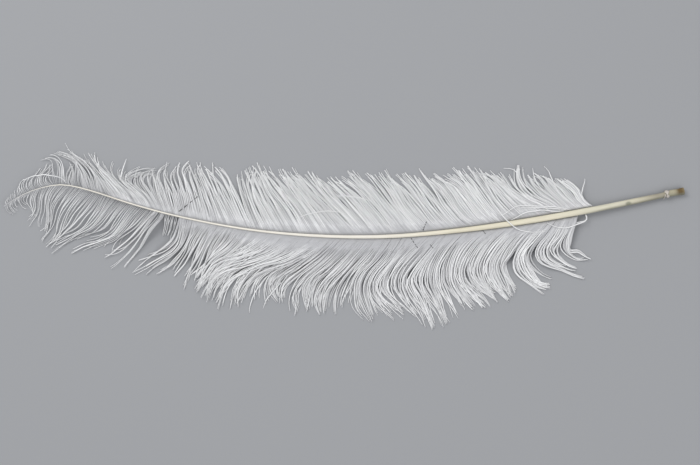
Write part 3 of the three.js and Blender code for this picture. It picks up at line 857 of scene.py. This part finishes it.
def weather_shaft(made):
    """Cuts the groove, squares the shaft, wrinkles its dry end, and stores its run as `grain`."""
    draw = np.random.default_rng(SHAFT_SEED)
    points = positions(made)
    run, aside, above, centre, size = on_shaft(points)
    angle = np.arctan2(above, aside)
    depth = smooth(run, GROOVE[0], GROOVE[0] + GROOVE_FADE[0])
    depth = depth * (1 - smooth(run, GROOVE[1] - GROOVE_FADE[1], GROOVE[1]))
    groove = depth * np.clip(1 - (aside / GROOVE_SIDE) ** 2, 0, 1) * (above < -0.3)
    # The shaft is flat-topped where the vanes grow from it, so its corners stand out.
    away = np.hypot(aside, above)
    square = smooth(run, *SQUARED) * (1 - smooth(run, *ROUNDED)) * (above > -0.6) * (away > 0.5)
    corner = np.maximum(np.abs(aside) ** CORNER_POWER + np.abs(above) ** CORNER_POWER, 1e-6)
    corner = corner ** (-1 / CORNER_POWER) * away
    moved = centre + (points - centre) * (1 + square * (corner - 1))[:, None]
    moved[:, 2] += groove * size * GROOVE_DEPTH
    dry = smooth(run, *DRY_START) * 0.6 + smooth(run, BROWN_START - 1, BROWN_START + 2) * 0.4
    ridges = sum(draw.normal(0, 0.016) * np.sin(k * angle + draw.uniform(0, 6)) for k in range(3, 12))
    wrinkle = 0.015 * np.sin(run * 3.1 + 2 * np.sin(angle)) + draw.normal(0, 0.012, len(run))
    moved += (points - centre) * (dry * (ridges * 2 + wrinkle))[:, None]
    # A soft unevenness all along the quill.
    slow = 0.012 * np.sin(run * 0.31 + angle) + 0.01 * np.sin(run * 0.83 + 2 * angle)
    moved += (points - centre) * (slow * smooth(run, 150, 230))[:, None]
    set_positions(made, moved)
    grain = np.stack([run / GRAIN_LENGTH, aside, above], 1).astype(np.float32)
    made.data.attributes.new("grain", "FLOAT_VECTOR", "POINT").data.foreach_set("vector", grain.ravel())


# ---------------------------------------------------------------------------------------------------
# Barbs
# ---------------------------------------------------------------------------------------------------


def resampled(points, count):
    """Points at even steps along a smooth curve through the given points."""
    points = np.asarray(points, float)
    ends = np.concatenate([[2 * points[0] - points[1]], points, [2 * points[-1] - points[-2]]])
    fine = []
    for k in range(1, len(ends) - 2):
        a, b, c, d = ends[k - 1 : k + 3]
        t = np.linspace(0, 1, 12, endpoint=k == len(ends) - 3)[:, None]
        curve = 2 * b + (c - a) * t + (2 * a - 5 * b + 4 * c - d) * t**2 + (3 * b - a - 3 * c + d) * t**3
        fine.append(0.5 * curve)
    fine = np.concatenate(fine)
    run = np.concatenate([[0], np.cumsum(np.linalg.norm(np.diff(fine, axis=0), axis=1))])
    return np.stack([np.interp(np.linspace(0, run[-1], count), run, column) for column in fine.T], 1)


def lengths(lines):
    """The length of each line."""
    return np.linalg.norm(np.diff(lines, axis=1), axis=2).sum(1)


def cut_short(run, share):
    """Each line's first part, out to its share of the whole, at the same number of stations."""
    at = np.clip(share, 0, 1)[:, None] * np.arange(STATIONS + 1)
    i = np.minimum(at.astype(int), STATIONS - 1)
    f = (at - i)[..., None]
    each = np.arange(len(run))[:, None]
    return run[each, i] * (1 - f) + run[each, i + 1] * f


def lead_table(lines, side):
    """For `along`: each line's root and then its run away from its root, at every station."""
    rows = []
    for line in lines:
        centre, radius, across = shaft_at(line[0])
        root = (centre + across * side * radius[:, None] * ROOT_REACH)[0, :2]
        points = np.concatenate([[root], np.reshape(line[2:], (-1, 2))])
        run = resampled(points, STATIONS + 1) - root
        rows.append([line[0], *run.ravel()])
    return rows


def cling(lines, groups, share, weights):
    """Draws the lines of each group towards the group's mean line, by share at each station."""
    total = np.zeros((groups.max() + 1, *lines.shape[1:]))
    np.add.at(total, groups, lines * weights[:, None, None])
    size = np.bincount(groups, weights=weights)[groups]
    return lines + (total[groups] / size[:, None, None] - lines) * share[..., None]


def lock_places(draw, lines, lock_width):
    """Where each lock of barbs ends on the shaft, the root that it gathers on, and whether that root is a
    line's own."""
    ends, homes, own = [], [], []
    k = 0
    while k < len(lines):
        low = (lines[k - 1][0] + lines[k][0]) / 2 if k else lines[0][0]
        after = k + 1
        while not lines[k][1] and after < len(lines) and not lines[after][1]:
            after += 1
        high = (lines[after - 1][0] + lines[after][0]) / 2 if after < len(lines) else lines[-1][0]
        if lines[k][1]:
            ends.append(high)
            homes.append(lines[k][0])
            own.append(1)
        else:
            count = max(1, round((high - low) / lock_width))
            steps = np.linspace(low, high, count + 1)
            steps[1:-1] += draw.uniform(-0.25, 0.25, count - 1) * lock_width
            ends += list(steps[1:])
            homes += list((steps[1:] + steps[:-1]) / 2)
            own += [0] * count
        k = after
    return np.array(ends), np.array(homes), np.array(own)


def stretch_lines(vane, lines, layers, lift, shine, lock_width, draw):
    """The lines, roots and tones of the barbs of one stretch of a vane."""
    side = vane["side"]
    first, last = lines[0][0], lines[-1][0]
    fine = np.linspace(first, last, FINE_STEPS)
    order = np.cumsum((fine[1] - fine[0]) / along(ROOT_SPACING, fine)[:, 1])
    whole = np.repeat(np.arange(int(order[-1]) + 1), layers)
    layer = np.arange(len(whole)) % layers
    roots = np.interp(whole + layer / layers, order, fine) + draw.uniform(-0.3, 0.3, len(whole))
    roots = np.clip(roots, first, last)
    kept = (layer == 0) | (draw.random(len(whole)) < smooth(roots, *vane["layered"]))
    roots, layer, whole = roots[kept], layer[kept], whole[kept]
    under = layer > 0
    count = len(roots)
    t = np.arange(STATIONS + 1) / STATIONS

    def each(low, high):
        return draw.uniform(low, high, count)

    def bell(spread, groups=None):
        values = draw.normal(0, spread, count)
        return values if groups is None else values[groups]

    ends_at, homes, own = lock_places(draw, lines, lock_width)
    locks = np.searchsorted(ends_at[:-1], roots + each(-0.4, 0.4))
    sizes = along(ROOT_SPACING, np.interp(np.arange(whole[-1] + 1), order, fine))[:, 2]
    strands = np.cumsum(draw.uniform(0.4, 1.6, len(sizes)) / sizes).astype(int)[whole]
    starts, ends, amount, own_amount, closed, clinging, joining, cover, curling, hooking, uneven, dull = (
        along(vane["gather"], roots)[:, 1:].T[..., None]
    )
    joining = np.where(under[:, None], joining, 1)

    table = lead_table(lines, side)
    centre, radius, across = shaft_at(roots)
    start = centre + across * (side * radius * ROOT_REACH)[:, None]
    home_centre, home_radius, home_across = shaft_at(homes)
    home_start = home_centre + home_across * (side * home_radius * ROOT_REACH)[:, None]
    home_run = along(table, homes)[:, 1:].reshape(len(homes), STATIONS + 1, 2)
    run = along(table, roots)[:, 1:].reshape(count, STATIONS + 1, 2)
    skew = 0.3 + 1.6 * draw.random(len(homes)) ** 2
    amount = np.minimum(MOST_GATHERED, amount * skew[locks][:, None] + own_amount * own[locks][:, None])
    amount = amount * each(0.8, 1.08)[:, None] * joining
    fan = (0.3 - 0.2 * own[locks])[:, None] * smooth(t, 0.8, 1)
    pull = amount * (smooth(t, starts, ends) - fan)
    run += (home_start[locks][:, None, :2] + home_run[locks] - start[:, None, :2] - run) * pull[..., None]
    reach = REACH + bell(0.02, locks) + bell(0.02) - uneven[:, 0] * draw.random(count)[strands]
    reach *= np.where(under, cover[:, 0] * each(0.88, 1), 1)
    run = cut_short(run, np.sqrt(reach)) * np.sqrt(reach)[:, None, None]
    ahead = np.gradient(run, axis=1)
    ahead /= np.linalg.norm(ahead, axis=2, keepdims=True)
    aside = np.stack([-ahead[:, :, 1], ahead[:, :, 0]], 2)
    length = lengths(run)
    size = length / SWAY_LENGTH
    wave = np.sin(bell(9, strands)[:, None] + t * each(9, 17)[:, None]) * smooth(t, 0.1, 0.6)
    wave = wave * each(0.2, 0.75)[:, None]
    drift = (bell(vane["sway"], locks) + bell(1.6, strands) + bell(1.2) + under * bell(1.2))[:, None] * t**3
    drift += (bell(0.45, strands) + bell(0.5))[:, None] * np.sin(np.pi * t)
    curl = curling * (bell(0.35, locks) + bell(1, strands) + bell(0.5))[:, None] * smooth(t, 0.55, 1.1) ** 2
    curl += hooking * (bell(1, strands) + bell(0.25))[:, None] * smooth(t, 0.75, 1.15) ** 1.5
    run = run + aside * ((wave + drift + curl) * size[:, None])[..., None]

    full = np.zeros((count, STATIONS + 1, 3))
    full[:, :, :2] = start[:, None, :2] + run
    held = draw.uniform(0.7, 1.2, count)[strands][:, None] * clinging * joining
    held = np.minimum(MOST_CLINGING, held) * smooth(t, closed, closed + CLING_SPAN)
    full = cling(full, strands, held, np.where(under, UNDER_WEIGHT, 1))

    fullness = np.minimum(1, length / FULL_LENGTH)[:, None]
    arch = ARCH * fullness * np.sin(np.pi * np.minimum(1, t / DRAPE_END))
    foot = (start[:, 2] - radius * FOOT_DROP)[:, None]
    over = np.where(under, each(0, 0.5), each(0.5, 2))[:, None] * smooth(t, 0.08, 0.4)
    full[:, :, 2] = foot * (1 - smooth(t, 0, DRAPE_END)) + arch + over + LIE_HEIGHT
    full[:, :, 2] += lift * smooth(t, 0.1, 0.4)
    # Painted shade: the under barbs are darkened where they lie beneath the upper ones.
    tones = BARB_TONE + shine + bell(0.1) + bell(0.11, strands) - UNDER_SHADE * under
    tones = tones[:, None] - dull * (1 - smooth(t, 0.02, 0.45)) + TIP_SHINE * smooth(t, 0.7, 1)
    # Painted shade: the barbs' feet beside the shaft are darkened, standing in for the shaft's shadow.
    foot_shade, foot_shade_end = vane["foot_shade"]
    tones -= foot_shade * (1 - smooth(t, 0, foot_shade_end)) + TIP_GREY * (1 - smooth(roots, *TIP_GREY_END))[:, None]
    return full, length, roots, tones, under


def strand_mesh(lines, length, half_width, fluff, tones, under, form, draw):
    """Points, quads, triangles and tones of the barbs, each a flat strand with barbules on both edges."""
    count = len(lines)
    t = np.arange(STATIONS + 1) / STATIONS
    ahead = np.gradient(lines, axis=1)
    ahead /= np.linalg.norm(ahead, axis=2, keepdims=True)
    sideways = np.stack([-ahead[:, :, 1], ahead[:, :, 0], np.zeros_like(ahead[:, :, 0])], 2)
    sideways /= np.linalg.norm(sideways, axis=2, keepdims=True)
    up = np.cross(ahead, sideways)
    thinning = np.where(under, UNDER_THINNING, THINNING)[:, None] * smooth(t, 0.6, 1)
    width = half_width[:, None] * (0.7 + 0.3 * smooth(t, 0, 0.3)) * (1 - thinning)
    rise = width * FLATNESS
    corners = [
        lines + sideways * width[..., None],
        lines + up * rise[..., None],
        lines - sideways * width[..., None],
        lines - up * rise[..., None],
    ]
    core = np.stack(corners, 2).reshape(-1, 3)
    core_tones = np.repeat(tones[:, :, None], 4, 2).ravel()
    per_barb = 4 * (STATIONS + 1)
    quads = []
    for i in range(STATIONS):
        for k in range(4):
            a, b = 4 * i + k, 4 * i + (k + 1) % 4
            quads.append((a, b, b + 4, a + 4))
    top = 4 * STATIONS
    quads.append((3, 2, 1, 0))
    quads.append((top, top + 1, top + 2, top + 3))
    quads = (np.array(quads)[None] + per_barb * np.arange(count)[:, None, None]).reshape(-1, 4)

    often = np.where(under, UNDER_BARBULES, 1) * MM / form.barbule_spacing
    per_side = np.maximum(2, (length * often).astype(int))
    barb = np.repeat(np.arange(count), per_side * 2)
    order = np.concatenate([np.arange(n * 2) for n in per_side])
    edge = np.where(order % 2, 1.0, -1.0)
    at = (order // 2 + draw.uniform(0.1, 0.9, len(order))) / per_side[barb] * 0.96 + 0.02
    # The barbules thin out towards the barb's tip.
    kept = draw.random(len(at)) > 0.8 * smooth(at, 0.6, 0.95)
    barb, edge, at = barb[kept], edge[kept], at[kept]
    i = np.minimum((at * STATIONS).astype(int), STATIONS - 1)
    f = (at * STATIONS - i)[:, None]

    def here(values):
        return values[barb, i] * (1 - f) + values[barb, i + 1] * f

    forward, across, upward = here(ahead), here(sideways), here(up)
    lean = np.radians(draw.uniform(*BARBULE_LEAN, len(at)))[:, None]
    roll = np.radians(draw.uniform(-BARBULE_ROLL, BARBULE_ROLL, len(at)))[:, None]
    out = across * edge[:, None]
    direction = forward * np.cos(lean) + (out * np.cos(roll) + upward * np.sin(roll)) * np.sin(lean)
    reach = form.barbule_length / MM * draw.uniform(0.6, 1, len(at)) * (0.45 + 0.55 * smooth(at, 0, 0.35))
    reach = (reach * fluff[barb] * (1 - 0.7 * smooth(at, 0.7, 1)))[:, None]
    foot = here(lines) + out * (here(width[..., None]) * 0.6)
    ends = (
        foot - forward * BARBULE_FOOT,
        foot + forward * BARBULE_FOOT,
        foot + upward * BARBULE_FOOT * 1.2,
        foot + direction * reach,
    )
    barbules = np.stack(ends, 1).reshape(-1, 3)
    base = len(core) + 4 * np.arange(len(at))[:, None]
    flipped = (edge > 0)[:, None]
    faces = []
    for a, b, c in ((0, 1, 2), (1, 0, 3), (2, 1, 3), (0, 2, 3)):
        faces.append(np.where(flipped, base + np.array([a, b, c]), base + np.array([a, c, b])))
    triangles = np.concatenate(faces)
    barbule_tones = np.repeat(here(tones[..., None])[:, 0] + BARBULE_SHINE, 4)
    tones = np.clip(np.concatenate([core_tones, barbule_tones]), 0, 1)
    return np.concatenate([core, barbules]), quads, triangles, tones


def make_vane(vane, form, material):
    """The pieces of one vane."""
    draw = np.random.default_rng(vane["seed"])
    parts = [stretch_lines(vane, *stretch, form.lock_width / MM, draw) for stretch in vane["stretches"]]
    lines, length, roots, tones, under = (np.concatenate(group) for group in zip(*parts))
    half_width, fluff = along(BARB_WIDTHS, roots)[:, 1:].T
    half_width = half_width * np.where(under, UNDER_WIDTH, UPPER_WIDTH)
    for name, first, last in vane["pieces"]:
        mine = (roots >= first) & (roots < last)
        points, quads, triangles, point_tones = strand_mesh(
            lines[mine], length[mine], half_width[mine], fluff[mine], tones[mine], under[mine], form, draw
        )
        points[:, 2] = np.maximum(points[:, 2], LOWEST)
        made = mesh_object(name, placed(points), quads, triangles, point_tones)
        finish_piece(made, material, "barbs", vane["node"])


def stray_lines():
    """The lines of the stray barbs."""
    return np.array([resampled(points, STATIONS + 1) for points in STRAYS])


def dash_lines():
    """The lines of the short dashes in which the dark fibres show."""
    lines = []
    for points in DARK_FIBRES:
        whole = resampled(points, 101)
        for start, end in DASHES:
            lines.append(resampled(whole[round(start * 100) : round(end * 100) + 1 : 5], STATIONS + 1))
    return np.array(lines)


def make_loose(lines, make, form, material):
    """A piece of strands that lie loose on the vanes."""
    name, half_width, fluff, tone, seed = make
    count = len(lines)
    tones = np.full((count, STATIONS + 1), float(tone))
    points, quads, triangles, tones = strand_mesh(
        lines, lengths(lines), np.full(count, half_width), np.full(count, fluff), tones,
        np.zeros(count, bool), form, np.random.default_rng(seed),
    )
    made = mesh_object(name, placed(points), quads, triangles, tones)
    finish_piece(made, material, "barbs", "outer_vane")


# ---------------------------------------------------------------------------------------------------
# Operators
# ---------------------------------------------------------------------------------------------------


class PLUME_OT_shaft(bpy.types.Operator):
    """Draws the shaft out of a short cylinder, from the thin tip to the cut quill"""

    bl_idname = "plume.shaft"
    bl_label = "Shaft"

    def execute(self, context):
        form = context.scene.plume_form
        x = np.concatenate([np.linspace(SHAFT_TIP, 276, 70), np.linspace(279, SHAFT_END, 12)])
        centre, radius, _ = shaft_at(x)
        places = [Vector(point) for point in placed(centre)]
        sizes = radius * MM
        bpy.ops.object.select_all(action="DESELECT")
        step = places[1] - places[0]
        turn = math.atan2(step.y, step.x)
        bpy.ops.mesh.primitive_cylinder_add(
            vertices=form.shaft_sides,
            radius=sizes[0],
            depth=step.length,
            location=places[1] - Vector((math.cos(turn), math.sin(turn), 0)) * step.length / 2,
            rotation=(0, math.pi / 2, turn),
        )
        made = context.object
        made.name = made.data.name = "shaft_rod"
        bpy.ops.object.transform_apply(location=True, rotation=True, scale=True)
        select_faces(made, lambda face: face.normal.x > 0.7)
        for k in range(2, len(places)):
            step = places[k] - places[k - 1]
            heading = math.atan2(step.y, step.x)
            bpy.ops.mesh.extrude_region_move(TRANSFORM_OT_translate={"value": step})
            grown = sizes[k] / sizes[k - 1]
            bpy.ops.transform.resize(value=(grown, grown, grown), center_override=places[k])
            bpy.ops.transform.rotate(value=turn - heading, orient_axis="Z", center_override=places[k])
            turn = heading
        back = -step.normalized() * HOLLOW_DEPTH * MM
        bpy.ops.mesh.inset(thickness=WALL * MM, depth=0)
        bpy.ops.mesh.extrude_region_move(TRANSFORM_OT_translate={"value": back})
        bpy.ops.transform.resize(value=(0.8, 0.8, 0.8), center_override=places[-1] + back)
        bpy.ops.object.mode_set(mode="OBJECT")
        weather_shaft(made)
        bpy.ops.object.select_all(action="DESELECT")
        made.select_set(True)
        bpy.ops.object.shade_smooth_by_angle(angle=math.radians(SHARP_ANGLE))
        finish_piece(made, shaft_material(context.scene.plume_colours), "quill", "shaft")
        return {"FINISHED"}


class PLUME_OT_quill_skin(bpy.types.Operator):
    """Wraps the torn ring of skin round the quill, with a flake that hangs from it"""

    bl_idname = "plume.quill_skin"
    bl_label = "Quill skin"

    def execute(self, context):
        draw = np.random.default_rng(SKIN_SEED)
        middle, radius, across = (value[0] for value in shaft_at(SKIN_MIDDLE))
        heading = math.atan2(-across[0], across[1])
        bpy.ops.object.select_all(action="DESELECT")
        bpy.ops.mesh.primitive_cylinder_add(
            vertices=28, radius=radius * MM, depth=SKIN_WIDTH * MM, end_fill_type="NOTHING",
            location=Vector(placed(middle)), rotation=(0, math.pi / 2, heading),
        )
        made = context.object
        made.name = made.data.name = "quill_skin"
        bpy.ops.object.transform_apply(location=True, rotation=True, scale=True)
        grid_mesh(4)
        points = positions(made)
        run, aside, above, centre, size = on_shaft(points)
        angle = np.arctan2(above, aside)
        torn = sum(draw.normal(0, 0.25) * np.sin(k * angle + draw.uniform(0, 6)) for k in range(1, 9))
        beside = shaft_at(centre[:, 0])[2]
        forward = np.stack([beside[:, 1], -beside[:, 0], np.zeros(len(points))], 1)
        lift = SKIN_LIFT + 0.02 * np.sin(5 * angle + run * 2.5) + draw.normal(0, 0.015, len(points))
        share = (run - SKIN_MIDDLE) / (SKIN_WIDTH / 2)
        slip = forward * (np.abs(share) * share * torn)[:, None]
        set_positions(made, centre + (points - centre) * lift[:, None] + slip)
        bpy.ops.object.modifier_add(type="SOLIDIFY")
        made.modifiers[-1].thickness = SKIN_THICKNESS * MM
        made.modifiers[-1].offset = 0
        bpy.ops.object.modifier_apply(modifier=made.modifiers[-1].name)

        bpy.ops.mesh.primitive_cube_add(size=1, location=(0, 0, 0))
        flake = context.object
        grid_mesh(5)
        local = (positions(flake) + OFFSET) * MM + 0.5
        t = local[:, 0]
        line = resampled(FLAKE, FLAKE_POINTS)
        steps = np.linspace(0, 1, FLAKE_POINTS)
        centreline = np.stack([np.interp(t, steps, line[:, k]) for k in range(3)], 1)
        width = FLAKE_WIDTH * (1 - 0.75 * t**2) * (1 + 0.25 * np.sin(9 * t))
        centreline[:, 0] += (local[:, 1] - 0.5) * width
        centreline[:, 2] += (local[:, 2] - 0.5) * FLAKE_THICKNESS + 0.3 * np.sin(5 * local[:, 1])
        set_positions(flake, centreline)
        made.select_set(True)
        context.view_layer.objects.active = made
        bpy.ops.object.join()
        bpy.ops.object.shade_smooth()
        finish_piece(made, skin_material(context.scene.plume_colours), "quill", "shaft")
        return {"FINISHED"}


class PLUME_OT_outer_barbs(bpy.types.Operator):
    """Grows the barbs of the narrower outer vane"""

    bl_idname = "plume.outer_barbs"
    bl_label = "Outer barbs"

    def execute(self, context):
        scene = context.scene
        make_vane(VANES["outer"], scene.plume_form, barb_material(scene.plume_colours))
        return {"FINISHED"}


class PLUME_OT_inner_barbs(bpy.types.Operator):
    """Grows the barbs of the wider inner vane"""

    bl_idname = "plume.inner_barbs"
    bl_label = "Inner barbs"

    def execute(self, context):
        scene = context.scene
        make_vane(VANES["inner"], scene.plume_form, barb_material(scene.plume_colours))
        return {"FINISHED"}


class PLUME_OT_stray_barbs(bpy.types.Operator):
    """Lays the barbs that stray across their neighbours and the shaft"""

    bl_idname = "plume.stray_barbs"
    bl_label = "Stray barbs"

    def execute(self, context):
        scene = context.scene
        make_loose(stray_lines(), STRAY_MAKE, scene.plume_form, barb_material(scene.plume_colours))
        return {"FINISHED"}


class PLUME_OT_dark_fibres(bpy.types.Operator):
    """Lays the dark fibres that are caught in the vanes"""

    bl_idname = "plume.dark_fibres"
    bl_label = "Dark fibres"

    def execute(self, context):
        scene = context.scene
        make_loose(dash_lines(), FIBRE_MAKE, scene.plume_form, fibre_material(scene.plume_colours))
        return {"FINISHED"}


class PLUME_OT_stage(bpy.types.Operator):
    """Lays the floor and sets the lights and the camera above it"""

    bl_idname = "plume.stage"
    bl_label = "Stage"

    def execute(self, context):
        scene = context.scene
        bpy.ops.object.select_all(action="DESELECT")
        bpy.ops.mesh.primitive_plane_add(size=FLOOR_SIZE * MM, location=(0, 0, -FLOOR_DROP * MM))
        floor = context.object
        floor.name = "floor"
        floor.data.materials.append(floor_material(scene.plume_colours))

        for name, place, size, power in LAMPS:
            data = bpy.data.lights.new(name, "AREA")
            data.size = size
            data.energy = power
            lamp = bpy.data.objects.new(name, data)
            lamp.location = place
            lamp.rotation_euler = (-Vector(place)).to_track_quat("-Z", "Y").to_euler()
            scene.collection.objects.link(lamp)

        world = bpy.data.worlds.new("studio")
        world.use_nodes = True
        sky = world.node_tree.nodes["Background"]
        set_inputs(world.node_tree, sky, {"Color": SKY, "Strength": SKY_STRENGTH})
        scene.world = world
        scene.view_settings.view_transform = "Standard"

        data = bpy.data.cameras.new("above")
        data.sensor_width = SENSOR_WIDTH
        data.lens = SENSOR_WIDTH * CAMERA_HEIGHT / FRAME_WIDTH
        camera = bpy.data.objects.new("above", data)
        view = placed([(*FRAME_CENTRE, 0)])[0]
        camera.location = (view[0], view[1], (CAMERA_HEIGHT + CAMERA_BASE) * MM)
        scene.collection.objects.link(camera)
        scene.camera = camera
        return {"FINISHED"}


class PLUME_PT_panel(bpy.types.Panel):
    """Lists the plume's pieces and settings"""

    bl_idname = "PLUME_PT_panel"
    bl_label = "Ostrich Plume"
    bl_space_type = "VIEW_3D"
    bl_region_type = "UI"
    bl_category = "Plume"

    def draw(self, context):
        for group in (context.scene.plume_form, context.scene.plume_colours):
            for key in group.bl_rna.properties.keys():
                if key not in {"rna_type", "name"}:
                    self.layout.prop(group, key)
        for step in STEPS:
            self.layout.operator(step.bl_idname)


STEPS = (
    PLUME_OT_shaft,
    PLUME_OT_quill_skin,
    PLUME_OT_outer_barbs,
    PLUME_OT_inner_barbs,
    PLUME_OT_stray_barbs,
    PLUME_OT_dark_fibres,
    PLUME_OT_stage,
)
CLASSES = (PlumeForm, PlumeColours, *STEPS, PLUME_PT_panel)


def register():
    """Registers the classes and hangs the settings on the scene."""
    for cls in CLASSES:
        bpy.utils.register_class(cls)
    bpy.types.Scene.plume_form = PointerProperty(type=PlumeForm)
    bpy.types.Scene.plume_colours = PointerProperty(type=PlumeColours)


def unregister():
    """Takes the settings and the classes away again."""
    del bpy.types.Scene.plume_colours
    del bpy.types.Scene.plume_form
    for cls in reversed(CLASSES):
        bpy.utils.unregister_class(cls)


def main():
    register()
    for step in STEPS:
        group, operator = step.bl_idname.split(".")
        getattr(getattr(bpy.ops, group), operator)()


if __name__ == "__main__":
    main()
